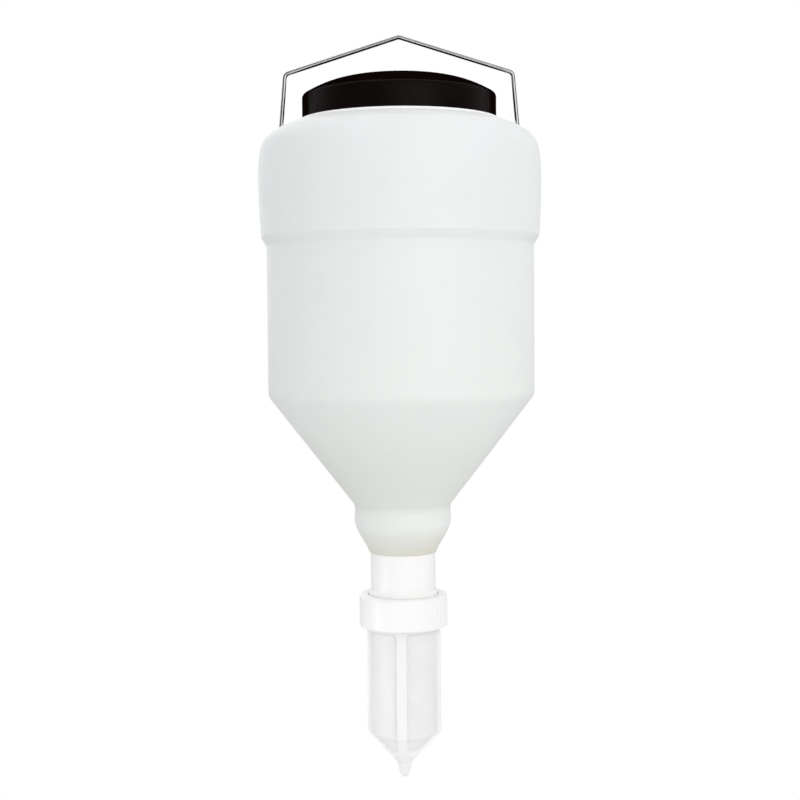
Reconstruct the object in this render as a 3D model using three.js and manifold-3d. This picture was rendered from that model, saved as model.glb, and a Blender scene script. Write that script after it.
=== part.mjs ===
// Hanging calf feeding bottle: a blow-moulded hopper with a screw lid and a wire handle above,
// and a screwed adapter, a ball non-return valve, a collar and a ribbed teat below.
// Millimetres, +Z up. The origin is the underside of the handle's peak, where a hook bears.

import * as THREE from "three";
import { mergeVertices } from "three/addons/utils/BufferGeometryUtils.js";
import Module from "manifold-3d";

const wasm = await Module();
wasm.setup();

// ---------------------------------------------------------------- driving dimensions

const GAP = 0.3; // left between pieces that rest on each other
const BIG_SEGMENTS = 40; // round the hopper and its lid
const SMALL_SEGMENTS = 28; // round the outlet pieces

const hopper = {
  wall: 1.8,
  mouthRadius: 52.8,
  rimZ: -37,
  shoulderZ: -48.7,
  bandRadius: 84.3,
  bandTopZ: -69.4,
  stepTopZ: -116.7,
  stepBottomZ: -121.9,
  bodyRadius: 79.7,
  coneTopZ: -211,
  coneEndRadius: 29.2,
  coneEndZ: -276.5,
  bulbRadius: 29,
  bulbEndRadius: 20.1,
  bulbEndZ: -305.6,
  outletRadius: 15.5,
  outletEndZ: -326,
};

// Each ridge: how far it rises in a turn, how far it stands out, and its width at the root and crest.
const mouthThread = { pitch: 3.8, depth: 2.1, base: 1.8, tip: 1, startZ: -43.2, turns: 1.2 };
const outletThread = { pitch: 4, depth: 1.5, base: 2, tip: 1, startZ: -323, turns: 2 };
const collarThread = { pitch: 3.6, depth: 1.5, base: 1.8, tip: 0.9, startZ: -342.6, turns: 1.9 };

const lid = {
  radius: 57.6,
  skirt: 2.2,
  bottomZ: -48.2,
  edgeZ: -33.6,
  padRadius: 16,
  topZ: -22.7,
  thickness: 2.2,
  ledgeZ: -34.4,
  ledgeRadius: 50.6,
};
const vent = {
  wellRadius: 7,
  wellDepth: 2,
  webDepth: 2.3,
  hole: 1.7,
  ports: 3,
  portRadius: 0.9,
  portCircle: 4.2,
};

const handle = {
  wireRadius: 1.3,
  cornerX: 67.6,
  cornerZ: -20,
  footX: 70.6,
  pivotZ: -54.5,
  endX: 60.5,
  footBend: 3.6,
  cornerBend: 5,
  peakBend: 4,
  peakRise: 0.6,
};
const pocket = { innerX: 66.5, halfWidth: 8.5, floorZ: -60.5, bossX: 57, bossHalfWidth: 11.5, bossZ: -63.5 };

const adapter = {
  radius: 19.4,
  topZ: hopper.bulbEndZ - GAP,
  upperBore: 17.6,
  webTopZ: hopper.outletEndZ - 2 * GAP - 2,
  web: 3,
  port: 6.5,
  chamber: 16,
  endZ: -344.2,
  stopRadius: 20.9,
  stopTopZ: -330.7,
  stopBottomZ: -334.2,
  stopFlare: 2.2,
};
const collar = {
  radius: 26.5,
  topZ: -330.9,
  bottomZ: -350,
  lip: 2.8,
  lipBore: 18.2,
  edge: 0.8,
  topEdge: 1.7,
  bore: 21.5,
  mouth: 21.3,
  mouthDepth: 1.2,
};
const ball = { radius: 7.5, restZ: -340.4 };
const cage = { outer: 15.6, inner: 10.9, post: 13.2, bar: 2.4, topZ: -341.6, barTopZ: -348.3, bottomZ: -350.6 };
const teat = {
  radius: 22.2,
  panelRadius: 19.7,
  bore: 17.2,
  ribs: 4,
  ribWidth: 6.2,
  ribTurnDeg: -4,
  flange: 20.6,
  flangeThickness: 2.4,
  throat: 13.8,
  coneZ: -415,
  nubRadius: 4.5,
  nubZ: -434,
  tipRadius: 2.2,
  tipZ: -443,
  slit: 0.9,
};

// ---------------------------------------------------------------- geometry helpers

// A profile of [radius, z] points, turned about the Z axis.
function revolved(points, segments) {
  const profile = points.map(([r, z]) => new THREE.Vector2(r, z));
  return new THREE.LatheGeometry(profile, segments).rotateX(Math.PI / 2);
}

// A closed loop of [radius, z] points, counter-clockwise, as a revolved ring.
function ring(loop, segments) {
  return revolved([...loop, loop[0]], segments);
}

// A three.js geometry as a manifold-3d solid, for joining and cutting.
function solidOf(geometry) {
  const bare = geometry.clone();
  for (const name of ["normal", "uv"]) bare.deleteAttribute(name);
  const merged = mergeVertices(bare, 1e-4);
  return new wasm.Manifold(
    new wasm.Mesh({
      numProp: 3,
      vertProperties: new Float32Array(merged.getAttribute("position").array),
      triVerts: new Uint32Array(merged.index.array),
    }),
  );
}

function geometryOf(solid) {
  const { vertProperties, triVerts } = solid.getMesh();
  const geometry = new THREE.BufferGeometry();
  geometry.setAttribute("position", new THREE.BufferAttribute(vertProperties, 3));
  geometry.setIndex(new THREE.BufferAttribute(triVerts, 1));
  return geometry;
}

// A box given by its lowest and highest corners.
function block([x0, y0, z0], [x1, y1, z1]) {
  const box = new THREE.BoxGeometry(x1 - x0, y1 - y0, z1 - z0);
  return box.translate((x0 + x1) / 2, (y0 + y1) / 2, (z0 + z1) / 2);
}

// The line that lies a wall's thickness inside a profile that runs upwards, with mitred corners.
function inset(points, wall) {
  const normals = points.slice(1).map(([r, z], i) => {
    const [dr, dz] = [r - points[i][0], z - points[i][1]];
    const length = Math.hypot(dr, dz);
    return [-dz / length, dr / length];
  });
  return points.map(([r, z], i) => {
    const a = normals[Math.max(i - 1, 0)];
    const b = normals[Math.min(i, normals.length - 1)];
    const share = wall / (1 + a[0] * b[0] + a[1] * b[1]);
    return [r + (a[0] + b[0]) * share, z + (a[1] + b[1]) * share];
  });
}

// A right-hand helical ridge that stands on a wall of radius root and points outwards,
// or inwards where depth is negative. Its ends fade into the wall.
function threadRidge({ root, depth, base, tip, pitch, startZ, turns, segments, firstTurn = 0 }) {
  const bury = 0.5 * Math.sign(depth);
  const fadeTurns = 0.15;
  const steps = Math.round(turns * segments);
  const positions = [];
  for (let i = 0; i <= steps; i++) {
    const run = (i / steps) * turns;
    const turn = firstTurn + run;
    const fade = Math.min(1, run / fadeTurns, (turns - run) / fadeTurns);
    const crest = root - bury * 0.8 + (depth + bury * 0.8) * fade;
    const z = startZ + pitch * turn;
    const angle = turn * 2 * Math.PI;
    const section = [
      [root - bury, z - base / 2],
      [crest, z - tip / 2],
      [crest, z + tip / 2],
      [root - bury, z + base / 2],
    ];
    if (depth < 0) section.reverse();
    for (const [r, height] of section) positions.push(r * Math.cos(angle), r * Math.sin(angle), height);
  }
  const last = 4 * steps;
  const indices = [0, 1, 2, 0, 2, 3, last, last + 2, last + 1, last, last + 3, last + 2];
  for (let i = 0; i < steps; i++) {
    for (let side = 0; side < 4; side++) {
      const a = 4 * i + side;
      const b = 4 * i + ((side + 1) % 4);
      indices.push(a, a + 4, b, b, a + 4, b + 4);
    }
  }
  const geometry = new THREE.BufferGeometry();
  geometry.setAttribute("position", new THREE.Float32BufferAttribute(positions, 3));
  return geometry.setIndex(indices);
}

// Points on an arc of [radius, z], from one angle to another in degrees.
function arc(centreR, centreZ, radius, fromDeg, toDeg, steps) {
  return Array.from({ length: steps + 1 }, (_, i) => {
    const angle = THREE.MathUtils.degToRad(fromDeg + ((toDeg - fromDeg) * i) / steps);
    return [centreR + radius * Math.cos(angle), centreZ + radius * Math.sin(angle)];
  });
}

// Points on a smooth curve through the given [radius, z] points.
function smooth(points, steps) {
  const curve = new THREE.SplineCurve(points.map(([r, z]) => new THREE.Vector2(r, z)));
  return curve.getPoints(steps).map((p) => [p.x, p.y]);
}

// ---------------------------------------------------------------- materials

function plastic(name, color, roughness) {
  return new THREE.MeshStandardMaterial({ name, color, roughness, metalness: 0 });
}

function metal(name, color, roughness) {
  return new THREE.MeshStandardMaterial({ name, color, roughness, metalness: 1 });
}

const materials = {
  hopper: plastic("natural_polythene", 0xe6ebe6, 0.42),
  lid: plastic("black_plastic", 0x170d0d, 0.38),
  white: plastic("white_plastic", 0xf4f4f4, 0.35),
  teat: plastic("white_silicone", 0xeeeeee, 0.5),
  seal: plastic("grey_rubber", 0x8a8a86, 0.8),
  wire: metal("plated_wire", 0xc8cacc, 0.15),
  steel: metal("steel_ball", 0xbfc2c4, 0.2),
};

const bottle = new THREE.Group();

function add(name, geometry, material) {
  const mesh = new THREE.Mesh(geometry, material);
  mesh.name = name;
  bottle.add(mesh);
  return mesh;
}

// ---------------------------------------------------------------- hopper

// Its outer surface from the outlet's end up to the mouth's rim, with so many steps in each curve.
function hopperProfile(bulbSteps, bandSteps, shoulderSteps) {
  const h = hopper;
  const bulb = smooth(
    [
      [h.bulbEndRadius, h.bulbEndZ],
      [24.2, -298.2],
      [27.7, -291.4],
      [h.bulbRadius, -286],
      [28.5, -279.4],
    ],
    bulbSteps,
  );
  const band = smooth(
    [
      [82.9, h.stepTopZ],
      [83.7, -100],
      [h.bandRadius, -84],
      [83.6, h.bandTopZ],
    ],
    bandSteps,
  );
  const shoulder = smooth(
    [
      [83.6, h.bandTopZ],
      [82.4, -63.7],
      [79.7, -58.8],
      [74.7, -55],
      [66.4, -51],
    ],
    shoulderSteps,
  );
  return [
    [h.outletRadius, h.outletEndZ],
    [h.outletRadius, h.bulbEndZ],
    ...bulb,
    [h.coneEndRadius, h.coneEndZ],
    [h.bodyRadius, h.coneTopZ],
    [h.bodyRadius, h.stepBottomZ],
    ...band,
    ...shoulder.slice(1),
    [h.mouthRadius + 4, h.shoulderZ],
    [h.mouthRadius, h.shoulderZ],
    [h.mouthRadius, h.rimZ],
  ];
}

// The solid boss and the open pocket for one foot of the handle. side is 1 or -1.
function pivotBoss(side) {
  const p = pocket;
  const far = hopper.bandRadius + 5;
  const bossBox = block([p.bossX, -p.bossHalfWidth, p.bossZ], [far, p.bossHalfWidth, hopper.shoulderZ]);
  const pocketBox = block([p.innerX, -p.halfWidth, p.floorZ], [far, p.halfWidth, 0]);
  const hole = new THREE.CylinderGeometry(handle.wireRadius + 0.4, handle.wireRadius + 0.4, 9, 16);
  hole.rotateZ(Math.PI / 2).translate(p.innerX - 3, 0, handle.pivotZ);
  const turned = (g) => solidOf(side < 0 ? g.rotateZ(Math.PI) : g);
  return { boss: turned(bossBox), cut: turned(pocketBox).add(turned(hole)) };
}

function makeHopper() {
  const outer = hopperProfile(5, 3, 6);
  const inner = inset(hopperProfile(3, 2, 4), hopper.wall);
  inner[0][1] = hopper.outletEndZ;
  inner[inner.length - 1][1] = hopper.rimZ;
  let solid = solidOf(ring([...outer, ...inner.reverse()], BIG_SEGMENTS));
  const filled = solidOf(revolved([[0, hopper.outletEndZ], ...outer, [0, hopper.rimZ]], BIG_SEGMENTS));
  for (const side of [1, -1]) {
    const { boss, cut } = pivotBoss(side);
    solid = solid.add(boss.intersect(filled)).subtract(cut);
  }
  const mouthRidge = threadRidge({ ...mouthThread, root: hopper.mouthRadius, segments: BIG_SEGMENTS });
  const outletRidge = threadRidge({ ...outletThread, root: hopper.outletRadius, segments: SMALL_SEGMENTS });
  return geometryOf(solid.add(solidOf(mouthRidge)).add(solidOf(outletRidge)));
}

add("hopper", makeHopper(), materials.hopper);

// ---------------------------------------------------------------- lid, gasket and vent

// The lid's domed top from its edge inwards to the flat pad, lowered by drop.
function domeLine(fromRadius, drop, steps) {
  const { padRadius, topZ, edgeZ, radius } = lid;
  return Array.from({ length: steps + 1 }, (_, i) => {
    const r = fromRadius + ((padRadius - fromRadius) * i) / steps;
    const share = (r - padRadius) / (radius - padRadius);
    return [r, topZ - drop - (topZ - edgeZ) * share ** 2.4];
  });
}

function makeLid() {
  const inside = lid.radius - lid.skirt;
  const wellZ = lid.topZ - vent.wellDepth;
  const webZ = wellZ - vent.webDepth;
  const loop = [
    [lid.radius, lid.bottomZ],
    [lid.radius, lid.edgeZ],
    ...domeLine(lid.radius - 1.6, 0, 5),
    [vent.wellRadius, lid.topZ],
    [vent.wellRadius, wellZ],
    [vent.hole, wellZ],
    [vent.hole, webZ],
    [vent.wellRadius + 2.2, webZ],
    ...domeLine(lid.ledgeRadius, lid.thickness, 3).reverse(),
    [lid.ledgeRadius, lid.ledgeZ],
    [inside, lid.ledgeZ],
    [inside, lid.bottomZ],
  ];
  let solid = solidOf(ring(loop, BIG_SEGMENTS));
  for (let i = 0; i < vent.ports; i++) {
    const port = new THREE.CylinderGeometry(vent.portRadius, vent.portRadius, 2 * vent.webDepth, 8);
    port.rotateX(Math.PI / 2).translate(vent.portCircle, 0, wellZ - vent.webDepth / 2);
    solid = solid.subtract(solidOf(port.rotateZ((i * 2 * Math.PI) / vent.ports)));
  }
  // It lies half a pitch below the hopper's ridge, and leaves it after four fifths of a turn.
  const ridge = threadRidge({
    ...mouthThread,
    depth: -mouthThread.depth,
    root: inside,
    startZ: mouthThread.startZ - mouthThread.pitch / 2,
    firstTurn: 0.4,
    turns: 0.8,
    segments: BIG_SEGMENTS,
  });
  return geometryOf(solid.add(solidOf(ridge)));
}

function makeGasket() {
  const [inner, outer] = [50.8, lid.radius - lid.skirt - 0.5];
  const [low, high] = [hopper.rimZ + GAP, lid.ledgeZ - GAP];
  return ring([[outer, low], [outer, high], [inner, high], [inner, low]], BIG_SEGMENTS);
}

// An umbrella valve: its bulb is in the lid's well, and its thin cap covers the ports from inside.
function makeVentValve() {
  const wellZ = lid.topZ - vent.wellDepth;
  const capZ = wellZ - vent.webDepth - GAP;
  return revolved(
    [
      [0, capZ - 1.8],
      [2.2, capZ - 1.6],
      [6.2, capZ - 0.5],
      [6.2, capZ],
      [vent.hole - 0.4, capZ],
      [vent.hole - 0.4, wellZ + GAP],
      [2.5, wellZ + GAP],
      [2.2, wellZ + 1.1],
      [1, wellZ + 1.8],
      [0, wellZ + 1.8],
    ],
    16,
  );
}

add("lid", makeLid(), materials.lid);
add("lid_gasket", makeGasket(), materials.seal);
add("vent_valve", makeVentValve(), materials.seal);

// ---------------------------------------------------------------- handle

// The centre line of the wire: straight runs joined by bends, in the XZ plane. The peak's corner is
// raised by what its bend takes off, so that the wire's underside there is at the origin.
function wirePath() {
  const h = handle;
  const corners = [
    { x: -h.endX, z: h.pivotZ },
    { x: -h.footX, z: h.pivotZ, bend: h.footBend },
    { x: -h.cornerX, z: h.cornerZ, bend: h.cornerBend },
    { x: 0, z: h.wireRadius + h.peakRise, bend: h.peakBend },
    { x: h.cornerX, z: h.cornerZ, bend: h.cornerBend },
    { x: h.footX, z: h.pivotZ, bend: h.footBend },
    { x: h.endX, z: h.pivotZ },
  ].map(({ x, z, bend }) => ({ at: new THREE.Vector3(x, 0, z), bend }));
  const path = new THREE.CurvePath();
  let from = corners[0].at;
  corners.slice(1, -1).forEach(({ at, bend }, i) => {
    const back = corners[i].at.clone().sub(at).normalize().multiplyScalar(bend).add(at);
    const ahead = corners[i + 2].at.clone().sub(at).normalize().multiplyScalar(bend).add(at);
    path.add(new THREE.LineCurve3(from, back));
    path.add(new THREE.QuadraticBezierCurve3(back, at, ahead));
    from = ahead;
  });
  path.add(new THREE.LineCurve3(from, corners.at(-1).at));
  return path;
}

function makeHandle() {
  const section = new THREE.Shape().absarc(0, 0, handle.wireRadius, 0, 2 * Math.PI);
  return new THREE.ExtrudeGeometry(section, { extrudePath: wirePath(), steps: 88, curveSegments: 4 });
}

add("wire_handle", makeHandle(), materials.wire);

// ---------------------------------------------------------------- adapter, seal and valve

function makeAdapter() {
  const a = adapter;
  const webEndZ = a.webTopZ - a.web;
  // A stop ring above the collar's thread fills the collar's mouth and flares into the tube.
  const loop = [
    [a.radius, a.endZ],
    [a.radius, a.stopBottomZ],
    [a.stopRadius, a.stopBottomZ],
    [a.stopRadius, a.stopTopZ],
    [a.radius, a.stopTopZ + a.stopFlare],
    [a.radius, a.topZ],
    [a.upperBore, a.topZ],
    [a.upperBore, a.webTopZ],
    [a.port, a.webTopZ],
    [a.port, webEndZ],
    [a.chamber, webEndZ],
    [a.chamber, a.endZ],
  ];
  // The upper thread fits the hopper's outlet, half a pitch from its ridge.
  // The lower one carries the collar.
  const upper = threadRidge({
    ...outletThread,
    depth: -outletThread.depth,
    root: a.upperBore,
    startZ: outletThread.startZ + outletThread.pitch / 2,
    segments: SMALL_SEGMENTS,
  });
  const lower = threadRidge({ ...collarThread, root: a.radius, segments: SMALL_SEGMENTS });
  return geometryOf(solidOf(ring(loop, SMALL_SEGMENTS)).add(solidOf(upper)).add(solidOf(lower)));
}

function makeOutletSeal() {
  const [low, high] = [adapter.webTopZ + GAP, hopper.outletEndZ - GAP];
  const [inner, outer] = [hopper.outletRadius - hopper.wall, adapter.upperBore - 0.4];
  return ring([[outer, low], [outer, high], [inner, high], [inner, low]], SMALL_SEGMENTS);
}

// A ring on the teat's flange, with four posts down to a cross that the ball rests on.
function makeValveCage() {
  const c = cage;
  const ringZ = adapter.endZ;
  let solid = solidOf(
    ring([[c.outer, ringZ], [c.outer, c.topZ], [c.inner, c.topZ], [c.inner, ringZ]], SMALL_SEGMENTS),
  );
  for (let i = 0; i < 4; i++) {
    const post = block([c.inner, -c.bar / 2, c.bottomZ], [c.post, c.bar / 2, c.topZ - 1]);
    solid = solid.add(solidOf(post.rotateZ((i * Math.PI) / 2)));
  }
  for (const turn of [0, Math.PI / 2]) {
    const bar = block([-c.post, -c.bar / 2, c.bottomZ], [c.post, c.bar / 2, c.barTopZ]);
    solid = solid.add(solidOf(bar.rotateZ(turn)));
  }
  return geometryOf(solid);
}

add("outlet_adapter", makeAdapter(), materials.white);
add("outlet_seal", makeOutletSeal(), materials.seal);
add("valve_cage", makeValveCage(), materials.white);
const valveBall = add("valve_ball", new THREE.SphereGeometry(ball.radius, 16, 10), materials.steel);
valveBall.position.z = ball.restZ;

// ---------------------------------------------------------------- collar and teat

function makeCollar() {
  const c = collar;
  const lipZ = c.bottomZ + c.lip;
  const loop = [
    [c.radius - c.edge, c.bottomZ],
    [c.radius, c.bottomZ + c.edge],
    [c.radius, c.topZ - c.topEdge],
    [c.radius - c.topEdge, c.topZ],
    [c.mouth, c.topZ],
    [c.mouth, c.topZ - c.mouthDepth],
    [c.bore, c.topZ - c.mouthDepth - GAP],
    [c.bore, lipZ],
    [c.lipBore, lipZ],
    [c.lipBore, c.bottomZ],
  ];
  const ridge = threadRidge({
    ...collarThread,
    depth: -collarThread.depth,
    root: c.bore,
    startZ: collarThread.startZ + collarThread.pitch / 2,
    turns: 1.5,
    segments: SMALL_SEGMENTS,
  });
  return geometryOf(solidOf(ring(loop, SMALL_SEGMENTS)).add(solidOf(ridge)));
}

// The teat's outer surface from its tip up to its flange. It is full at the ribs and lower in the panels.
function teatProfile(bodyRadius) {
  const t = teat;
  const bodyTopZ = collar.bottomZ - GAP;
  const flangeZ = collar.bottomZ + collar.lip + GAP;
  const grooveRadius = collar.lipBore - 0.4;
  return [
    [t.tipRadius, t.tipZ],
    [t.nubRadius - 0.6, t.tipZ + 3],
    [t.nubRadius, t.nubZ],
    [bodyRadius, t.coneZ],
    [bodyRadius, bodyTopZ],
    [grooveRadius, bodyTopZ],
    [grooveRadius, flangeZ],
    [t.flange, flangeZ],
    [t.flange, flangeZ + t.flangeThickness],
  ];
}

function teatSolid(bodyRadius) {
  const topZ = collar.bottomZ + collar.lip + GAP + teat.flangeThickness;
  return solidOf(revolved([[0, teat.tipZ], ...teatProfile(bodyRadius), [0, topZ]], SMALL_SEGMENTS));
}

// The inside: a throat through the flange, a wide bore, and a cone down to the milk slit.
function teatBore() {
  const t = teat;
  return solidOf(
    revolved(
      [
        [0, t.tipZ - 1],
        [t.slit, t.tipZ - 1],
        [t.slit, t.nubZ + 1],
        [t.bore, t.coneZ + 1.5],
        [t.bore, collar.bottomZ - 4.5],
        [t.throat, collar.bottomZ - 2],
        [t.throat, adapter.endZ + 1],
        [0, adapter.endZ + 1],
      ],
      SMALL_SEGMENTS,
    ),
  );
}

function makeTeat() {
  const full = teatSolid(teat.radius);
  let solid = teatSolid(teat.panelRadius);
  for (let i = 0; i < teat.ribs; i++) {
    const rib = block([0, -teat.ribWidth / 2, teat.nubZ + 6], [30, teat.ribWidth / 2, collar.bottomZ - GAP]);
    const turn = THREE.MathUtils.degToRad(teat.ribTurnDeg) + (i * 2 * Math.PI) / teat.ribs;
    solid = solid.add(solidOf(rib.rotateZ(turn)).intersect(full));
  }
  // A full-width band under the collar, which the ribs run up to.
  const band = block([-30, -30, collar.bottomZ - 3], [30, 30, collar.bottomZ - GAP]);
  solid = solid.add(solidOf(band).intersect(full));
  return geometryOf(solid.subtract(teatBore()));
}

add("collar_nut", makeCollar(), materials.white);
add("teat", makeTeat(), materials.teat);

export default bottle;
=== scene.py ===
"""Hanging calf feeding bottle: fine surfaces, materials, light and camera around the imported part.

Profiles are [radius, height] in millimetres, in the CAD part's own frame: +Z up, origin under the
handle's peak, X along the pivot. Meshes are made in metres.
"""

import math

import bmesh
import bpy
import numpy as np
from mathutils import Matrix, Vector


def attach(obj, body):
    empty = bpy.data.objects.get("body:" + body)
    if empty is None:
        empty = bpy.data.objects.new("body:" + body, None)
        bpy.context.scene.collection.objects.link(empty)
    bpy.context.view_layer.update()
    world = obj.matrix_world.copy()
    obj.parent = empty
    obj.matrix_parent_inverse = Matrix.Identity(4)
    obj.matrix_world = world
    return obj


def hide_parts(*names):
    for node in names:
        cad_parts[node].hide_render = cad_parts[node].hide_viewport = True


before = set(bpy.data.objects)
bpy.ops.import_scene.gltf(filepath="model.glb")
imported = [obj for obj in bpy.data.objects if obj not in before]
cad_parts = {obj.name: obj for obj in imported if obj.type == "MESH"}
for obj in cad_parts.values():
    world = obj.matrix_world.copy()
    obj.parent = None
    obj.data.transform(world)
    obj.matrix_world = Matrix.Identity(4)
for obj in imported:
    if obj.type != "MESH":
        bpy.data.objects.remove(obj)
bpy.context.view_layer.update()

MM = 0.001

# ---------------------------------------------------------------- sizes shared with the CAD part

WALL = 1.8
MOUTH_R, RIM_Z, SHOULDER_Z = 52.8, -37.0, -48.7
BAND_R, BAND_TOP = 83.5, -69.4
STEP_R, STEP_TOP, STEP_BOTTOM = 82.9, -116.7, -121.9
BODY_R, CONE_TOP = 79.7, -211.0
CREASE_R, CREASE_Z = 29.2, -276.5
BULB_END_R, BULB_END = 20.1, -305.6
OUTLET_R, OUTLET_END = 15.5, -326.0
MOUTH_THREAD = dict(pitch=3.8, depth=2.1, base=1.8, tip=1.0, start=-43.2, turns=1.2, first=0.0)
OUTLET_THREAD = dict(pitch=4.0, depth=1.5, base=2.0, tip=1.0, start=-323.0, turns=2.0, first=0.0)
COLLAR_THREAD = dict(pitch=3.6, depth=1.5, base=1.8, tip=0.9, start=-342.6, turns=1.9, first=0.0)
PIVOT_Z = -54.5
POCKET_X, POCKET_HALF, POCKET_FLOOR = 66.5, 8.5, -60.5
BOSS_X, BOSS_HALF, BOSS_FLOOR = 57.0, 11.5, -63.5
WIRE_R, HANDLE_CORNER_X, HANDLE_CORNER_Z, FOOT_X, FOOT_END_X = 1.3, 67.6, -20.0, 70.6, 60.5
LID_R, LID_SKIRT, LID_BOTTOM, LID_EDGE, LID_TOP, LID_PAD = 57.6, 2.2, -48.2, -33.6, -22.7, 16.0
LEDGE_R, LEDGE_Z = 50.6, -34.4
GASKET_IN, GASKET_OUT, GASKET_LOW, GASKET_HIGH = 50.8, 54.9, -36.7, -34.7
VENT_WELL_R, VENT_WELL_Z, VENT_WEB_Z, VENT_HOLE_R = 7.0, -24.7, -27.0, 1.7
VENT_PORTS, VENT_PORT_R, VENT_PORT_CIRCLE = 3, 0.9, 4.2
CAP_R, CAP_Z = 6.2, VENT_WEB_Z - 0.3
ADAPTER_R, ADAPTER_BORE, ADAPTER_TOP, ADAPTER_END = 19.4, 17.6, -305.9, -344.2
WEB_TOP, WEB_BOTTOM, SEAT_R, CHAMBER_R = -328.6, -331.6, 6.5, 16.0
STOP_R, STOP_TOP, STOP_BOTTOM, STOP_FLARE = 20.9, -330.7, -334.2, 2.2
SEAL_IN, SEAL_OUT, SEAL_LOW, SEAL_HIGH = 13.7, 17.2, -328.3, -326.3
CAGE_R, CAGE_IN, CAGE_TOP, POST_R = 15.6, 10.9, -341.6, 13.2
BARS_TOP, BARS_BOTTOM, BAR_WIDTH = -348.3, -350.6, 2.4
BALL_R, BALL_Z = 7.5, -340.4
COLLAR_R, COLLAR_BORE, COLLAR_MOUTH, LIP_BORE = 26.5, 21.5, 21.3, 18.2
COLLAR_TOP, COLLAR_BOTTOM, COLLAR_LIP = -330.9, -350.0, 2.8
TEAT_R, PANEL_DEPTH, TEAT_BORE, THROAT_R, SLIT_R = 22.2, 2.5, 17.2, 13.8, 0.9
FLANGE_R, FLANGE_THICK, FLANGE_Z = 20.6, 2.4, COLLAR_BOTTOM + 3.1
CONE_Z, NUB_R, NUB_Z, TIP_R, TIP_Z = -415.0, 4.4, -434.0, 1.9, -443.0
BODY_TOP = COLLAR_BOTTOM - 0.3

# ---------------------------------------------------------------- profile tools


def smooth_line(points, steps):
    """A Catmull-Rom line through the points, with so many steps in each span."""
    p = [np.array(q, float) for q in points]
    p = [2 * p[0] - p[1], *p, 2 * p[-1] - p[-2]]
    out = []
    for a, b, c, d in zip(p, p[1:], p[2:], p[3:]):
        square, cube = 2 * a - 5 * b + 4 * c - d, 3 * b - a - 3 * c + d
        for t in [i / steps for i in range(steps)]:
            out.append(0.5 * (2 * b + (c - a) * t + square * t**2 + cube * t**3))
    out.append(p[-2])
    return [tuple(q) for q in out]


NEARLY_STRAIGHT = math.pi - 0.01
LONGEST_CUT = 0.48  # of the side that a fillet takes its share from


def rounded(corners, closed=True, arc_steps=6):
    """Corners are (r, z) or (r, z, fillet radius). Every fillet becomes a curve that meets both sides."""
    pts = [(c[0], c[1], c[2] if len(c) > 2 else 0.0) for c in corners]
    n = len(pts)
    out = []
    for i, (x, y, fillet) in enumerate(pts):
        if fillet <= 0 or (not closed and i in (0, n - 1)):
            out.append((x, y))
            continue
        here = np.array([x, y])
        before = np.array(pts[i - 1][:2]) - here
        after = np.array(pts[(i + 1) % n][:2]) - here
        la, lb = np.linalg.norm(before), np.linalg.norm(after)
        before, after = before / la, after / lb
        angle = math.acos(float(np.clip(before @ after, -1, 1)))
        if angle > NEARLY_STRAIGHT:
            out.append((x, y))
            continue
        cut = min(fillet / math.tan(angle / 2), LONGEST_CUT * la, LONGEST_CUT * lb)
        start, end = here + before * cut, here + after * cut
        for k in range(arc_steps + 1):
            t = k / arc_steps
            q = (1 - t) ** 2 * start + 2 * t * (1 - t) * here + t**2 * end
            out.append(tuple(q))
    return out


def dense(points, step, closed=True):
    """The same line with no span longer than step. step may be a function of (r, z)."""
    out = []
    spans = list(zip(points, points[1:] + points[:1])) if closed else list(zip(points, points[1:]))
    for a, b in spans:
        length = math.dist(a, b)
        limit = step((a[0] + b[0]) / 2, (a[1] + b[1]) / 2) if callable(step) else step
        count = max(1, math.ceil(length / limit))
        out += [(a[0] + (b[0] - a[0]) * k / count, a[1] + (b[1] - a[1]) * k / count) for k in range(count)]
    if not closed:
        out.append(points[-1])
    return out


def inset(points, wall):
    """A line that lies a wall's thickness inside one that runs upwards, with mitred corners."""
    p = np.array([q[:2] for q in points], float)
    d = np.diff(p, axis=0)
    normal = np.stack([-d[:, 1], d[:, 0]], 1) / np.linalg.norm(d, axis=1)[:, None]
    out = []
    for i, q in enumerate(p):
        a, b = normal[max(i - 1, 0)], normal[min(i, len(normal) - 1)]
        out.append(tuple(q + (a + b) * wall / (1 + a @ b)))
    return out


def even_angles(count):
    return [2 * math.pi * i / count for i in range(count)]


THREAD_FADE = 0.12  # of a turn, at each end of a thread


def ridge_height(angle, z, pitch, depth, base, tip, start, turns, first):
    """How far a helical ridge stands out of its wall at an angle and height."""
    turn = (angle / (2 * math.pi)) % 1.0
    best = 0.0
    for k in range(int(first + turns) + 2):
        t = turn + k
        if not first <= t <= first + turns:
            continue
        off = abs(z - (start + pitch * t))
        flank = (base / 2 - off) / (base / 2 - tip / 2)
        fade = min(1.0, (t - first) / THREAD_FADE, (first + turns - t) / THREAD_FADE)
        best = max(best, depth * min(1.0, max(0.0, flank)) * fade)
    return best


def shifted(thread, pitches, **changes):
    """The thread that runs beside another one, so many pitches up."""
    return dict(thread, start=thread["start"] + pitches * thread["pitch"], **changes)


def smoothstep(low, high, value):
    t = min(1.0, max(0.0, (value - low) / (high - low)))
    return t * t * (3 - 2 * t)


# ---------------------------------------------------------------- mesh tools


def mesh_object(name, verts, faces, smooth=True):
    mesh = bpy.data.meshes.new(name)
    mesh.from_pydata([tuple(c * MM for c in v) for v in verts], [], faces)
    mesh.validate()
    mesh.update()
    obj = bpy.data.objects.new(name, mesh)
    bpy.context.scene.collection.objects.link(obj)
    bm = bmesh.new()
    bm.from_mesh(mesh)
    bmesh.ops.recalc_face_normals(bm, faces=bm.faces)
    bm.to_mesh(mesh)
    bm.free()
    if smooth:
        mesh.shade_smooth()
    return obj


def at_angle(a, r, z):
    return (r * math.cos(a), r * math.sin(a), z)


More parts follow.
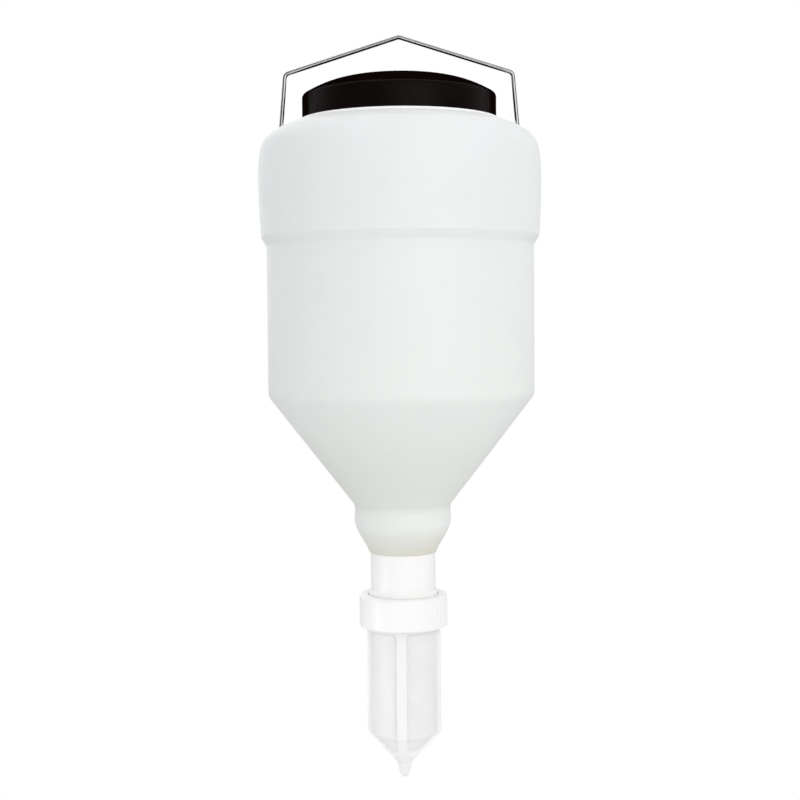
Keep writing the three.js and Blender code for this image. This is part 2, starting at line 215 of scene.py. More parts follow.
def turned(name, loop, angles, shape=None):
    """A closed loop of (r, z), or an open line that starts and ends on the axis, turned about Z.

    shape(angle, index, r, z) may return a changed (x, y, z).
    """
    on_axis = loop[0][0] < 1e-6 and loop[-1][0] < 1e-6
    rows = loop[1:-1] if on_axis else loop
    verts, faces = [], []
    for i, (r, z) in enumerate(rows):
        for a in angles:
            verts.append(shape(a, i, r, z) if shape else at_angle(a, r, z))
    n, m = len(angles), len(rows)
    spans = range(m - 1) if on_axis else range(m)
    for i in spans:
        j = (i + 1) % m
        for k in range(n):
            q = (k + 1) % n
            faces.append((i * n + k, i * n + q, j * n + q, j * n + k))
    if on_axis:
        low, high = len(verts), len(verts) + 1
        verts += [(0, 0, loop[0][1]), (0, 0, loop[-1][1])]
        for k in range(n):
            q = (k + 1) % n
            faces.append((low, q, k))
            faces.append((high, (m - 1) * n + k, (m - 1) * n + q))
    return mesh_object(name, verts, faces)


def swept(name, path, radius, sides):
    """A round bar along a line in the XZ plane, with domed ends."""
    p = [np.array(q, float) for q in path]
    first, last = p[0] - p[1], p[-1] - p[-2]
    first, last = first / np.linalg.norm(first), last / np.linalg.norm(last)
    caps = [(math.sin(t), math.cos(t)) for t in (0.35, 0.75, 1.15)]
    rings = [(p[0] + first * radius * (c - 1) * 0.6, radius * s) for s, c in caps]
    rings += [(q, radius) for q in p[1:-1]]
    rings += [(p[-1] + last * radius * (c - 1) * 0.6, radius * s) for s, c in reversed(caps)]
    centres = [q for q, _ in rings]
    verts, faces = [], []
    for i, (q, r) in enumerate(rings):
        ahead = centres[min(i + 1, len(rings) - 1)] - centres[max(i - 1, 0)]
        ahead = ahead / np.linalg.norm(ahead)
        side = np.array([-ahead[1], ahead[0]])
        for k in range(sides):
            a = 2 * math.pi * k / sides
            at = q + side * r * math.cos(a)
            verts.append((at[0], r * math.sin(a), at[1]))
    for i in range(len(rings) - 1):
        for k in range(sides):
            q = (k + 1) % sides
            faces.append((i * sides + k, i * sides + q, (i + 1) * sides + q, (i + 1) * sides + k))
    faces.append(tuple(range(sides)))
    faces.append(tuple((len(rings) - 1) * sides + k for k in range(sides)))
    return mesh_object(name, verts, faces)


def flat_ring(name, inner, outer, low, high, fillets, arc_steps=4, step=1.0, count=72):
    """A plain ring. Its fillets go outer low, outer high, inner high, inner low."""
    corners = ((outer, low), (outer, high), (inner, high), (inner, low))
    section = rounded([(*corner, fillet) for corner, fillet in zip(corners, fillets)], arc_steps=arc_steps)
    return turned(name, dense(section, step), even_angles(count))


def combined(obj, others, operation):
    """Joins closed meshes to obj (UNION) or cuts them out of it (DIFFERENCE), and removes them."""
    for other in others:
        change = obj.modifiers.new("combine", "BOOLEAN")
        change.operation, change.solver, change.object = operation, "EXACT", other
    graph = bpy.context.evaluated_depsgraph_get()
    mesh = bpy.data.meshes.new_from_object(obj.evaluated_get(graph))
    obj.modifiers.clear()
    obj.data = mesh
    for other in others:
        bpy.data.objects.remove(other)
    return obj


# ---------------------------------------------------------------- materials


def maths(nodes, links, kind, *values):
    node = nodes.new("ShaderNodeMath")
    node.operation = kind
    for socket, value in zip(node.inputs, values):
        if isinstance(value, float):
            socket.default_value = value
        else:
            links.new(value, socket)
    return node.outputs[0]


def map_range(nodes, links, value, low, high, to_low, to_high):
    node = nodes.new("ShaderNodeMapRange")
    numbers = (low, high, to_low, to_high)
    for socket, number in zip(("From Min", "From Max", "To Min", "To Max"), numbers):
        node.inputs[socket].default_value = number
    links.new(value, node.inputs["Value"])
    return node.outputs[0]


class Look:
    """A small helper that builds one procedural material."""

    def __init__(self, name):
        self.material = bpy.data.materials.new(name)
        self.material.use_nodes = True
        self.nodes = self.material.node_tree.nodes
        self.links = self.material.node_tree.links
        self.nodes.clear()
        self.out = self.nodes.new("ShaderNodeOutputMaterial")
        self.shader = self.nodes.new("ShaderNodeBsdfPrincipled")
        self.links.new(self.shader.outputs[0], self.out.inputs[0])
        self.place = self.nodes.new("ShaderNodeTexCoord").outputs["Object"]
        self.bump_chain = None

    def set(self, **values):
        for key, value in values.items():
            self.shader.inputs[key.replace("_", " ")].default_value = value
        return self

    def stretched(self, scale):
        node = self.nodes.new("ShaderNodeMapping")
        node.inputs["Scale"].default_value = scale
        self.links.new(self.place, node.inputs["Vector"])
        return node.outputs[0]

    def noise(self, scale, detail=4.0, roughness=0.55, stretch=None, distortion=0.0):
        node = self.nodes.new("ShaderNodeTexNoise")
        node.inputs["Scale"].default_value = scale
        node.inputs["Detail"].default_value = detail
        node.inputs["Roughness"].default_value = roughness
        node.inputs["Distortion"].default_value = distortion
        self.links.new(self.stretched(stretch) if stretch else self.place, node.inputs["Vector"])
        return node.outputs[0]

    def ramp(self, value, stops):
        node = self.nodes.new("ShaderNodeValToRGB")
        band = node.color_ramp
        band.interpolation = "EASE"
        while len(band.elements) < len(stops):
            band.elements.new(0.5)
        for element, (at, colour) in zip(band.elements, stops):
            element.position = at
            element.color = (*colour, 1)
        self.links.new(value, node.inputs[0])
        return node.outputs[0]

    def span(self, value, low, high, to_low=0.0, to_high=1.0):
        return map_range(self.nodes, self.links, value, low, high, to_low, to_high)

    def height(self):
        node = self.nodes.new("ShaderNodeSeparateXYZ")
        self.links.new(self.place, node.inputs[0])
        return node.outputs["Z"]

    def both(self, a, b):
        """The product of two factors."""
        return maths(self.nodes, self.links, "MULTIPLY", a, b)

    def mix(self, factor, a, b):
        """Two colours, or a colour and another socket, mixed by a factor."""
        node = self.nodes.new("ShaderNodeMix")
        node.data_type = "RGBA"
        factor_in, a_in, b_in = node.inputs[0], node.inputs[6], node.inputs[7]
        self.links.new(factor, factor_in)
        for socket, value in ((a_in, a), (b_in, b)):
            if isinstance(value, tuple):
                socket.default_value = (*value, 1)
            else:
                self.links.new(value, socket)
        return node.outputs[2]

    def to(self, socket, value):
        self.links.new(value, self.shader.inputs[socket])
        return self

    def bump(self, value, strength, distance):
        node = self.nodes.new("ShaderNodeBump")
        node.inputs["Strength"].default_value = strength
        node.inputs["Distance"].default_value = distance
        self.links.new(value, node.inputs["Height"])
        if self.bump_chain:
            self.links.new(self.bump_chain, node.inputs["Normal"])
        self.bump_chain = node.outputs[0]
        self.links.new(self.bump_chain, self.shader.inputs["Normal"])
        return self


def polythene():
    """Natural blow-moulded polythene. Its tint by height is fitted and carries painted light: a painted
    highlight band round the bulb, painted shade at the crease and down the cone, and pale under the lid,
    painted light that cancels the lid's shade. It is darker and yellower towards the outlet."""
    look = Look("natural_polythene")
    tall = look.span(look.height(), OUTLET_END * MM, -0.045)
    # Painted light in the tint: a painted highlight band round the bulb's swell (0.100 to 0.160), painted
    # shade at the crease and down the cone (0.176 to 0.44), and a painted light band under the lid (0.977)
    # that cancels the lid's shade. Near the outlet it is darker and yellower.
    tint = look.ramp(
        tall,
        [
            (0.0, (0.64, 0.61, 0.49)),
            (0.070, (0.69, 0.66, 0.54)),
            (0.100, (0.755, 0.755, 0.70)),
            (0.138, (0.84, 0.87, 0.84)),
            (0.160, (0.84, 0.86, 0.83)),
            (0.176, (0.77, 0.79, 0.75)),
            (0.20, (0.76, 0.78, 0.74)),
            (0.44, (0.83, 0.86, 0.835)),
            (0.955, (0.805, 0.845, 0.85)),
            (0.977, (0.99, 0.995, 0.995)),
        ],
    )
    cloud = look.noise(14, 3, 0.5)
    patch = look.mix(look.span(cloud, 0.35, 0.7, 0.0, 0.35), tint, (0.80, 0.85, 0.80))
    grime = look.span(look.noise(60, 6, 0.65), 0.56, 0.78, 0.0, 0.10)
    look.to("Base Color", look.mix(grime, patch, (0.62, 0.60, 0.52)))
    look.to("Roughness", look.span(look.noise(90, 5, 0.6), 0.3, 0.7, 0.36, 0.50))
    look.set(Subsurface_Weight=0.35, Subsurface_Radius=(1.0, 1.0, 0.9), Subsurface_Scale=0.004)
    look.set(Specular_IOR_Level=0.4)
    look.bump(look.noise(45, 2, 0.4, stretch=(1, 1, 0.35)), 0.35, 0.0006)
    look.bump(look.noise(900, 3, 0.6), 0.12, 0.00008)
    scuffs = look.span(look.noise(500, 2, 0.5, stretch=(1, 1, 0.03), distortion=0.3), 0.62, 0.70)
    look.bump(scuffs, 0.08, 0.00005)
    return look.material


def black_plastic():
    """Moulded near-black plastic with a fine spark-eroded grain and faint handling marks. Its dome
    stays dark at a glancing angle."""
    look = Look("black_plastic")
    worn = look.span(look.noise(38, 6, 0.6), 0.5, 0.75)
    look.to("Base Color", look.mix(worn, (0.0040, 0.0016, 0.0014), (0.0065, 0.0028, 0.0026)))
    look.to("Roughness", look.span(look.noise(160, 4, 0.6), 0.3, 0.7, 0.34, 0.50))
    look.set(Specular_IOR_Level=0.05)
    facing = look.nodes.new("ShaderNodeLayerWeight").outputs["Facing"]
    look.to("Specular IOR Level", look.span(facing, 0.40, 0.66, 0.07, 0.0))
    look.bump(look.noise(1400, 2, 0.5), 0.14, 0.00006)
    look.bump(look.noise(30, 2, 0.4), 0.2, 0.0003)
    return look.material


def white_plastic(name, colour, shade, roughness, seed_scale):
    """Injection-moulded plastic: slight flow marks, fine grain and a faint waviness."""
    look = Look(name)
    flow = look.span(look.noise(seed_scale, 3, 0.5, stretch=(1, 1, 0.35)), 0.35, 0.8)
    look.to("Base Color", look.mix(flow, colour, shade))
    look.to("Roughness", look.span(look.noise(180, 3, 0.5), 0.3, 0.7, roughness, roughness + 0.08))
    look.set(Subsurface_Weight=0.1, Subsurface_Radius=(1.0, 1.0, 1.0), Subsurface_Scale=0.001)
    look.bump(look.noise(1300, 2, 0.5), 0.05, 0.00004)
    look.bump(look.noise(60, 1, 0.3), 0.1, 0.0002)
    return look.material


def silicone():
    """Translucent white silicone with a satin skin. The cone is painted lighter, a fitted painted light
    that cancels the shade on its downward face.
    """
    look = Look("white_silicone")
    cloud = look.span(look.noise(55, 4, 0.55), 0.35, 0.7)
    wall = look.mix(cloud, (0.87, 0.87, 0.87), (0.83, 0.83, 0.825))
    height = look.height()
    # Painted light: the cone is painted lighter between these heights, to cancel the shade on its downward
    # face.
    cone = look.both(look.span(height, -0.4152, -0.4195), look.span(height, -0.437, -0.430))
    look.to("Base Color", look.mix(cone, wall, (0.93, 0.93, 0.93)))
    look.to("Roughness", look.span(look.noise(180, 4, 0.6), 0.3, 0.7, 0.38, 0.52))
    look.set(Subsurface_Weight=0.7, Subsurface_Radius=(1.0, 1.0, 0.97), Subsurface_Scale=0.004)
    look.bump(look.noise(70, 3, 0.5), 0.25, 0.0003)
    look.bump(look.noise(1500, 2, 0.5), 0.08, 0.00005)
    return look.material


def rubber():
    """Dull grey rubber with dust in it."""
    look = Look("grey_rubber")
    dust = look.span(look.noise(150, 5, 0.6), 0.45, 0.75)
    look.to("Base Color", look.mix(dust, (0.24, 0.24, 0.23), (0.34, 0.33, 0.31)))
    look.to("Roughness", look.span(look.noise(300, 3, 0.6), 0.3, 0.7, 0.6, 0.8))
    look.bump(look.noise(1200, 3, 0.6), 0.2, 0.00008)
    return look.material


def metal(name, colour, dull, roughness, draw):
    """Bright metal with fine marks and duller patches."""
    look = Look(name)
    patch = look.span(look.noise(70, 5, 0.6), 0.5, 0.75)
    look.to("Base Color", look.mix(patch, colour, dull))
    look.to("Roughness", look.span(look.noise(240, 4, 0.6), 0.3, 0.7, roughness, roughness + 0.12))
    look.set(Metallic=1.0)
    look.bump(look.noise(draw, 3, 0.6), 0.12, 0.00005)
    return look.material


hopper_look = polythene()
lid_look = black_plastic()
white_look = white_plastic("white_plastic", (0.93, 0.93, 0.93), (0.91, 0.91, 0.905), 0.30, 35)
silicone_look = silicone()
rubber_look = rubber()
wire_look = metal("plated_wire", (0.62, 0.63, 0.64), (0.45, 0.45, 0.45), 0.12, 900)
steel_look = metal("steel_ball", (0.70, 0.71, 0.72), (0.60, 0.60, 0.61), 0.1, 1600)


def finish_piece(obj, material, body, slot, *nodes):
    obj.data.materials.clear()
    obj.data.materials.append(material)
    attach(obj, body)
    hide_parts(*nodes)
    return obj


# ---------------------------------------------------------------- hopper


def hopper_line(with_fillets):
    """The hopper's outer line from the outlet's end up to the rim. The inner one has bare corners."""
    f = 1.0 if with_fillets else 0.0
    bulb_end, step_top, band_top = (BULB_END_R, BULB_END), (STEP_R, STEP_TOP), (BAND_R, BAND_TOP)
    swell = [(22.0, -301.6), (25.6, -295.6), (28.1, -290.2), (29.0, -286), (28.6, -279.6)]
    bulb = smooth_line([bulb_end, *swell], 5)
    band = smooth_line([step_top, (83.6, -104), (84.2, -88), (84.1, -78), band_top], 5)
    bend = [(82.8, -65.3), (81.5, -61.7), (79.2, -58.4), (74.7, -54.9), (70.6, -52.9), (66.4, -51.1)]
    shoulder = smooth_line([band_top, *bend], 5)
    line = [(OUTLET_R, OUTLET_END, 0.6 * f), (OUTLET_R, BULB_END, 0.7 * f), (*bulb_end, 0.3 * f)]
    line += [(*q, 0) for q in bulb[1:]]
    line += [(CREASE_R, CREASE_Z, 2.2 * f), (BODY_R, CONE_TOP, 8 * f)]
    line += [(BODY_R, STEP_BOTTOM, 2.5 * f), (*step_top, 2.2 * f)]
    line += [(*q, 0) for q in band[1:-1]]
    line += [(*q, 0) for q in shoulder]
    if with_fillets:
        line += [(60.2, -49.3, 0.6), (59.5, -47.9, 0.7), (58.0, -47.9, 0.5), (57.9, SHOULDER_Z, 0.3)]
    else:
        line += [(57.4, SHOULDER_Z, 0)]
    line += [(MOUTH_R, SHOULDER_Z, 0.8 * f), (MOUTH_R, RIM_Z, 0.6 * f)]
    return line


def hopper_angles():
    """Close columns at the ears and the parting line, wider ones elsewhere."""
    near = [math.radians(0.3 * i) for i in range(-30, 31)]
    fine, columns = near[-1], 84
    wide = [fine + (math.pi - 2 * fine) * i / columns for i in range(1, columns)]
    one = near + wide
    return [a % (2 * math.pi) for a in one + [a + math.pi for a in one]]


def make_hopper():
    outer = rounded(hopper_line(True), closed=False, arc_steps=7)

    def outer_step(r, z):
        if z > -62 and r > 60:
            return 0.45
        if r < MOUTH_R + 3 and z > -49:
            return 0.3
        if r < OUTLET_R + 1.5 and z < BULB_END + 5.6:
            return 0.45
        return 3.5

    outer = dense(outer, outer_step, closed=False)
    inner = inset(hopper_line(False), WALL)
    inner[0] = (inner[0][0], OUTLET_END)
    inner[-1] = (inner[-1][0], RIM_Z)
    inner = dense(inner, lambda r, z: 1.2 if z > -66 else 5.0, closed=False)
    loop = outer + list(reversed(inner))
    rows_outside = len(outer)

    def shape(a, i, r, z):
        c, s = math.cos(a), math.sin(a)
        outside = i < rows_outside
        if outside:
            if z > -46.0 and abs(r - MOUTH_R) < 0.5:
                r += ridge_height(a, z, **MOUTH_THREAD)
            elif z < BULB_END - 0.4 and abs(r - OUTLET_R) < 0.5:
                r += ridge_height(a, z, **OUTLET_THREAD)
            elif -305 < z < -49:
                # slow unevenness of a blown wall, and the thin line where the mould halves met
                r += 0.10 * math.sin(3 * a + z * 0.021) * math.sin(2 * a - 1.1 + z * 0.034) - 0.1
                r += 0.16 * math.exp(-((r * s / 0.38) ** 2))
        x, y = r * c, r * s
        if outside:
            low, wall_x, half, soft = POCKET_FLOOR, POCKET_X, POCKET_HALF, 1.0
        else:
            low, wall_x, half, soft = BOSS_FLOOR, BOSS_X, BOSS_HALF, 1.6
        if z > low - soft and abs(x) > wall_x:
            share = smoothstep(half + 0.1, half - soft, abs(y))
            share *= smoothstep(low - soft * 0.5, low + soft * 0.5, z)
            if outside:
                far = math.hypot(y, z - PIVOT_Z)
                wall_x -= 2.5 * (1 - smoothstep(1.35, 1.95, far))
            x = math.copysign(abs(x) + (wall_x - abs(x)) * share, x)
        return (x, y, z)

    return turned("hopper_shell", loop, hopper_angles(), shape)


finish_piece(make_hopper(), hopper_look, "bottle", "hopper", "hopper")

# ---------------------------------------------------------------- lid, gasket and vent


def dome(r, drop=0.0):
    """The height of the lid's dome, or of a line that lies under it."""
    share = max(0.0, (r - LID_PAD) / (LID_R - LID_PAD))
    return LID_TOP - drop - (LID_TOP - LID_EDGE) * share**2.4


def make_lid():
    inside = LID_R - LID_SKIRT
    top = [(r, dome(r), 0) for r in np.linspace(54.6, 16.5, 26)]
    under = [(r, dome(r, 2.2), 0) for r in np.linspace(12, 50.2, 16)]
    corners = [
        (LID_R, LID_BOTTOM, 0.4),
        (LID_R, LID_EDGE + 0.2, 3.6),
        *top,
        (VENT_WELL_R, LID_TOP, 0.5),
        (VENT_WELL_R, VENT_WELL_Z, 0.5),
        (VENT_HOLE_R, VENT_WELL_Z, 0.3),
        (VENT_HOLE_R, VENT_WEB_Z, 0.3),
        (VENT_WELL_R + 2.2, VENT_WEB_Z, 0.5),
        *under,
        (LEDGE_R, LEDGE_Z, 0.5),
        (inside, LEDGE_Z, 0.6),
        (inside, LID_BOTTOM, 0.5),
    ]
    loop = rounded(corners, arc_steps=7)

    def step(r, z):
        return 0.3 if abs(r - inside) < 0.3 and z < -35 else 2.6

    loop = dense(loop, step)
    thread = shifted(MOUTH_THREAD, -0.5, first=0.4, turns=0.8)

    def shape(a, i, r, z):
        if abs(r - inside) < 0.2 and z < LEDGE_Z - 0.2:
            r -= ridge_height(a, z, **thread)
        return at_angle(a, r, z)

    lid = turned("lid_shell", loop, even_angles(216), shape)
    ports = []
    for a in even_angles(VENT_PORTS):
        drill = [(0, -30), (VENT_PORT_R, -30), (VENT_PORT_R, -22), (0, -22)]
        port = turned("port", drill, even_angles(20))
        port.data.transform(Matrix.Translation(at_angle(a, VENT_PORT_CIRCLE * MM, 0)))
        ports.append(port)
    return combined(lid, ports, "DIFFERENCE")


finish_piece(make_lid(), lid_look, "lid", "lid", "lid")

gasket = flat_ring(
    "lid_gasket_ring", GASKET_IN, GASKET_OUT, GASKET_LOW, GASKET_HIGH, [0.5] * 4, step=1.2, count=144
)
finish_piece(gasket, rubber_look, "lid_seal", "seal", "lid_gasket")


def make_vent():
    """An umbrella valve: a cap under the web, a stem through its hole, and a bulb that holds it."""
    stem_r, bottom, bulb_low, bulb_top = 1.3, CAP_Z - 1.8, VENT_WELL_Z + 0.3, VENT_WELL_Z + 1.8
    corners = [
        (0.1, bottom),
        (2.2, CAP_Z - 1.6, 1.2),
        (CAP_R, CAP_Z - 0.5, 0.2),
        (CAP_R, CAP_Z, 0.2),
        (stem_r, CAP_Z, 0.3),
        (stem_r, bulb_low, 0.2),
        (2.5, bulb_low, 0.3),
        (2.2, VENT_WELL_Z + 1.1, 0.6),
        (1.0, bulb_top, 0.7),
        (0.1, bulb_top),
    ]
    line = [(0, bottom), *rounded(corners, closed=False, arc_steps=5), (0, bulb_top)]
    return turned("vent_umbrella", line, even_angles(48))


finish_piece(make_vent(), rubber_look, "lid", "seal", "vent_valve")

# ---------------------------------------------------------------- handle


def make_handle():
    arm = [(HANDLE_CORNER_X, HANDLE_CORNER_Z, 3.4), (FOOT_X, PIVOT_Z, 2.6), (FOOT_END_X, PIVOT_Z, 0)]
    corners = [(-x, z, bend) for x, z, bend in reversed(arm)] + [(0.0, WIRE_R + 0.1, 2.6)] + arm
    line = dense(rounded(corners, closed=False, arc_steps=10), 2.5, closed=False)
    return swept("handle_wire", line, WIRE_R, 24)


finish_piece(make_handle(), wire_look, "handle", "wire", "wire_handle")

# ---------------------------------------------------------------- adapter, seal, cage and ball


def make_adapter():
    tube_r, tube_top = ADAPTER_R + 0.1, ADAPTER_TOP + 0.2
    corners = [
        (ADAPTER_R, ADAPTER_END, 0.4),
        (ADAPTER_R, STOP_BOTTOM, 0.3),
        (STOP_R, STOP_BOTTOM, 0.2),
        (STOP_R, STOP_TOP, 0.1),
        (tube_r, STOP_TOP + STOP_FLARE, 1.2),
        (tube_r, tube_top, 0.15),
        (ADAPTER_BORE, tube_top, 0.4),
        (ADAPTER_BORE, WEB_TOP, 0.4),
        (SEAT_R, WEB_TOP, 0.6),
        (SEAT_R, WEB_BOTTOM, 0.8),
        (CHAMBER_R, WEB_BOTTOM, 0.6),
        (CHAMBER_R, ADAPTER_END, 0.4),
    ]

    def step(r, z):
        threaded = (r > ADAPTER_R - 0.4 and z < STOP_BOTTOM) or (abs(r - ADAPTER_BORE) < 0.2)
        return 0.35 if threaded else 2.0

    loop = dense(rounded(corners, arc_steps=5), step)
    upper = shifted(OUTLET_THREAD, 0.5)

    def shape(a, i, r, z):
        if abs(r - ADAPTER_BORE) < 0.1:
            r -= ridge_height(a, z, **upper)
        elif r > ADAPTER_R - 0.2 and z < STOP_BOTTOM - 0.2:
            r += ridge_height(a, z, **COLLAR_THREAD)
        return at_angle(a, r, z)

    return turned("adapter_tube", loop, even_angles(120), shape)


finish_piece(make_adapter(), white_look, "bottle", "white", "outlet_adapter")

outlet_seal = flat_ring("outlet_seal_ring", SEAL_IN, SEAL_OUT, SEAL_LOW, SEAL_HIGH, [0.4] * 4)
finish_piece(outlet_seal, rubber_look, "bottle", "seal", "outlet_seal")


def bar(name, length, width, low, high, turn=0.0):
    """A bar across the axis with softened edges."""
    bm = bmesh.new()
    bmesh.ops.create_cube(bm, size=1.0)
    for v in bm.verts:
        v.co.x *= length * MM
        v.co.y *= width * MM
        v.co.z = (v.co.z * (high - low) + (high + low) / 2) * MM
    bmesh.ops.bevel(bm, geom=bm.edges[:], offset=0.3 * MM, segments=2, affect="EDGES")
    bmesh.ops.rotate(bm, verts=bm.verts, cent=(0, 0, 0), matrix=Matrix.Rotation(turn, 3, "Z"))
    mesh = bpy.data.meshes.new(name)
    bm.to_mesh(mesh)
    bm.free()
    obj = bpy.data.objects.new(name, mesh)
    bpy.context.scene.collection.objects.link(obj)
    return obj


def make_cage():
    """A ring, a skirt with four windows that leave four posts, and a cross of two bars."""
    ring = flat_ring("ball_cage", CAGE_IN, CAGE_R, ADAPTER_END, CAGE_TOP, (0.3, 0.3, 0.6, 0.3))
    skirt_fillets = (0.3, 0.1, 0.1, 0.3)
    skirt = flat_ring(
        "skirt", CAGE_IN + 0.1, POST_R, BARS_BOTTOM, CAGE_TOP - 1, skirt_fillets, arc_steps=3, step=1.2
    )
    windows = []
    for a in even_angles(4):
        window = bar("window", 12, 12, BARS_TOP + 0.1, ADAPTER_END - 0.4)
        aside = Matrix.Translation((14 * MM, 0, 0))
        window.data.transform(Matrix.Rotation(math.pi / 4 + a, 4, "Z") @ aside)
        windows.append(window)
    skirt = combined(skirt, windows, "DIFFERENCE")
    length = 2 * POST_R - 1.8
    bars = [bar("bar", length, BAR_WIDTH, BARS_BOTTOM, BARS_TOP, turn) for turn in (0.0, math.pi / 2)]
    return combined(ring, [skirt, *bars], "UNION")


finish_piece(make_cage(), white_look, "bottle", "white", "valve_cage")

ball_rows = [math.pi * k / 32 for k in range(1, 32)]
ball_side = [(BALL_R * math.sin(t), BALL_Z - BALL_R * math.cos(t)) for t in ball_rows]
ball_line = [(0, BALL_Z - BALL_R), *ball_side, (0, BALL_Z + BALL_R)]
finish_piece(turned("check_ball", ball_line, even_angles(64)), steel_look, "ball", "steel", "valve_ball")

# ---------------------------------------------------------------- collar and teat

GRIP_ANGLE, GRIP_PITCH, GRIP_GROOVES, GRIP_DEPTH = math.radians(-24), math.radians(7.5), 7, 0.5


def make_collar():
    lip_z = COLLAR_BOTTOM + COLLAR_LIP
    corners = [
        (COLLAR_R, COLLAR_BOTTOM, 0.6),
        (COLLAR_R, COLLAR_TOP, 2.0),
        (COLLAR_MOUTH, COLLAR_TOP, 0.1),
        (COLLAR_MOUTH, COLLAR_TOP - 1.2, 0.2),
        (COLLAR_BORE, COLLAR_TOP - 1.4, 0.2),
        (COLLAR_BORE, lip_z, 0.4),
        (LIP_BORE, lip_z, 0.4),
        (LIP_BORE, COLLAR_BOTTOM, 0.4),
    ]

    def step(r, z):
        return 0.35 if abs(r - COLLAR_BORE) < 0.2 else 1.2

    loop = dense(rounded(corners, arc_steps=5), step)
    thread = shifted(COLLAR_THREAD, 0.5, turns=1.5)
    middle, half = (COLLAR_TOP + COLLAR_BOTTOM) / 2, (COLLAR_TOP - COLLAR_BOTTOM) / 2

    def groove(a, z):
        """Finger grooves in two zones on opposite sides, fading out before the collar's edges."""
        off = (a - GRIP_ANGLE + math.pi / 2) % math.pi - math.pi / 2
        place = off / GRIP_PITCH
        if abs(place) > GRIP_GROOVES / 2:
            return 0.0
        depth = GRIP_DEPTH * smoothstep(0, 1.5, half - 1.2 - abs(z - middle))
        return depth * math.cos(math.pi * (place - round(place))) ** 4

    def shape(a, i, r, z):
        if abs(r - COLLAR_BORE) < 0.1 and z < COLLAR_TOP - 2.5:
            r -= ridge_height(a, z, **thread)
        elif r > COLLAR_R - 0.2:
            r -= groove(a, z)
        return at_angle(a, r, z)

    return turned("collar_ring", loop, even_angles(336), shape)


finish_piece(make_collar(), white_look, "collar", "white", "collar_nut")

RIB_HALF, RIB_TURN, RIB_END_Z, PANEL_GAP = 2.8, math.radians(-4), -425.5, 1.8


def panel_share(a, r, z):
    """1 inside a recessed panel, 0 on a rib, with rounded upper corners and soft edges."""
    quarter = math.pi / 2
    off = (a - RIB_TURN + quarter / 2) % quarter - quarter / 2
    beside_rib = abs(off) * r - RIB_HALF
    below_band = BODY_TOP - PANEL_GAP - z
    corner = 2.6
    if beside_rib < corner and below_band < corner:
        depth_in = corner - math.hypot(corner - beside_rib, corner - below_band)
    else:
        depth_in = min(beside_rib, below_band)
    return smoothstep(-0.25, 0.9, depth_in)


def make_teat():
    """The ribs stand between four recessed panels, which run on down the cone until the ribs die out."""
    waist_r, flange_top = LIP_BORE - 0.4, FLANGE_Z + FLANGE_THICK
    corners = [
        (TIP_R, TIP_Z, 0.0),
        (3.3, TIP_Z + 3.5, 1.5),
        (NUB_R, NUB_Z, 3.0),
        (TEAT_R, CONE_Z, 3.0),
        (TEAT_R, BODY_TOP, 0.3),
        (waist_r, BODY_TOP, 0.5),
        (waist_r, FLANGE_Z, 0.4),
        (FLANGE_R, FLANGE_Z, 0.6),
        (FLANGE_R, flange_top, 0.6),
        (THROAT_R, flange_top, 0.6),
        (THROAT_R, COLLAR_BOTTOM - 2, 0.8),
        (TEAT_BORE, COLLAR_BOTTOM - 4.5, 1.5),
        (TEAT_BORE, CONE_Z + 1.5, 3.0),
        (SLIT_R, NUB_Z + 1, 0.5),
        (SLIT_R, TIP_Z, 0.2),
    ]
    loop = rounded(corners, arc_steps=7)

    def outside(r, z):
        cone_r = TEAT_R + (CONE_Z - z) * (NUB_R - TEAT_R) / (CONE_Z - NUB_Z)
        return z < BODY_TOP - 0.5 and r > min(TEAT_R, cone_r) - 1.4

    def step(r, z):
        return 0.6 if outside(r, z) else 1.8

    loop = dense(loop, step)

    def shape(a, i, r, z):
        if outside(r, z) and z > NUB_Z + 1:
            end_z = RIB_END_Z + 1.5 * math.cos(4 * (a - RIB_TURN))
            depth = PANEL_DEPTH * smoothstep(end_z - 2.5, end_z + 1.5, z)
            r -= depth * panel_share(a, r, z)
        return at_angle(a, r, z)

    return turned("teat_body", loop, even_angles(288), shape)


finish_piece(make_teat(), silicone_look, "teat", "teat", "teat")

# ---------------------------------------------------------------- floor, light and camera

FLOOR_Z, FLOOR_HALF = -470.0, 9e3
MIDDLE = (0, 0, -0.2)
CAMERA_AT, LENS_MM, SENSOR_MM = (-0.001, -0.870, -0.1701), 65.25, 36
TILT_DEG, ROLL_DEG = -2.9, -0.5


def by_ray(nodes, links, mirrored, felt):
    """A strength of 1 to the camera, another one in gloss, and what everything else feels."""
    path = nodes.new("ShaderNodeLightPath")
    more_seen = maths(nodes, links, "MULTIPLY", path.outputs["Is Camera Ray"], 1.0 - felt)
    more_mirrored = maths(nodes, links, "SUBTRACT", mirrored, felt)
    total = maths(nodes, links, "MULTIPLY_ADD", path.outputs["Is Glossy Ray"], more_mirrored, felt)
    return maths(nodes, links, "ADD", total, more_seen)


def make_floor(felt, mirrored):
    verts = [(x * FLOOR_HALF, y * FLOOR_HALF, FLOOR_Z) for x, y in ((-1, -1), (1, -1), (1, 1), (-1, 1))]
    floor = mesh_object("floor", verts, [(0, 1, 2, 3)], smooth=False)
    look = bpy.data.materials.new("pale_floor")
    look.use_nodes = True
    nodes, links = look.node_tree.nodes, look.node_tree.links
    nodes.clear()
    out = nodes.new("ShaderNodeOutputMaterial")
    glow = nodes.new("ShaderNodeEmission")
    links.new(by_ray(nodes, links, mirrored, felt), glow.inputs["Strength"])
    links.new(glow.outputs[0], out.inputs[0])
    floor.data.materials.append(look)


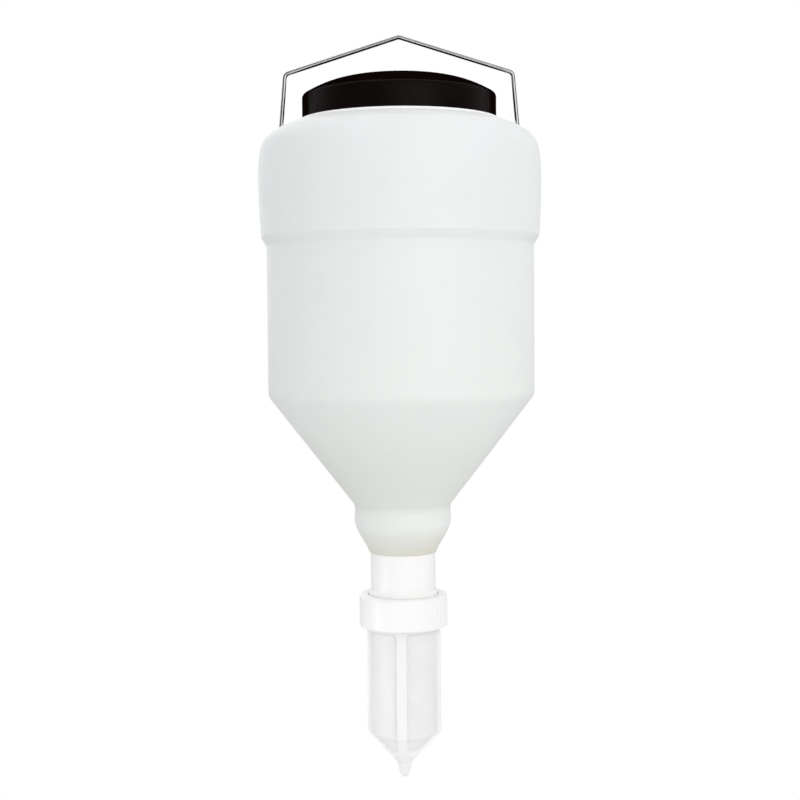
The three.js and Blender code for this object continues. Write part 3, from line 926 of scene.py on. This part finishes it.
def make_world(felt, front, back):
    """A white room to the eye, and a dimmer one to light the object by.

    Gloss mirrors the dark front of the room and its bright backdrop.
    """
    world = bpy.data.worlds.new("studio")
    bpy.context.scene.world = world
    world.use_nodes = True
    nodes, links = world.node_tree.nodes, world.node_tree.links
    nodes.clear()
    out = nodes.new("ShaderNodeOutputWorld")
    glow = nodes.new("ShaderNodeBackground")
    glow.inputs["Color"].default_value = (1, 1, 1, 1)
    direction = nodes.new("ShaderNodeSeparateXYZ")
    links.new(nodes.new("ShaderNodeTexCoord").outputs["Generated"], direction.inputs[0])
    room = map_range(nodes, links, direction.outputs["Y"], -0.1, 0.5, front, back)
    links.new(by_ray(nodes, links, room, felt), glow.inputs["Strength"])
    links.new(glow.outputs[0], out.inputs[0])


def softbox(name, at, aim, width, height, watts, spread=180, tint=(1, 1, 1)):
    """A rectangular light, with its spread in degrees."""
    light = bpy.data.lights.new(name, "AREA")
    light.shape = "RECTANGLE"
    light.size, light.size_y = width, height
    light.energy = watts
    light.spread = math.radians(spread)
    light.color = tint
    obj = bpy.data.objects.new(name, light)
    bpy.context.scene.collection.objects.link(obj)
    obj.location = at
    obj.rotation_euler = (Vector(aim) - Vector(at)).to_track_quat("-Z", "Y").to_euler()
    obj.visible_camera = False


make_floor(felt=0.86, mirrored=0.55)
make_world(felt=0.82, front=0.16, back=0.92)
softbox("key", (0.76, -1.63, 0.15), MIDDLE, 1.2, 1.6, 8.7, tint=(1.0, 1.0, 0.97))
softbox("strip", (-0.12, -1.6, -0.15), MIDDLE, 0.12, 1.6, 1.2)
softbox("top", (0.1, -0.2, 1.2), MIDDLE, 1.2, 1.2, 2.0)
softbox("back", (-0.6, 1.6, 0.5), MIDDLE, 1.2, 1.4, 3.0)
softbox("low_fill", (-0.42, -0.15, -0.44), (0, 0, -0.405), 0.12, 0.16, 0.010, spread=22)

camera_data = bpy.data.cameras.new("camera")
camera_data.sensor_width = SENSOR_MM
camera_data.lens = LENS_MM
camera = bpy.data.objects.new("camera", camera_data)
bpy.context.scene.collection.objects.link(camera)
camera.location = CAMERA_AT
camera.rotation_euler = (math.radians(90 + TILT_DEG), 0, 0)
camera.rotation_euler.rotate_axis("Z", math.radians(ROLL_DEG))
bpy.context.scene.camera = camera
bpy.context.scene.view_settings.view_transform = "Standard"
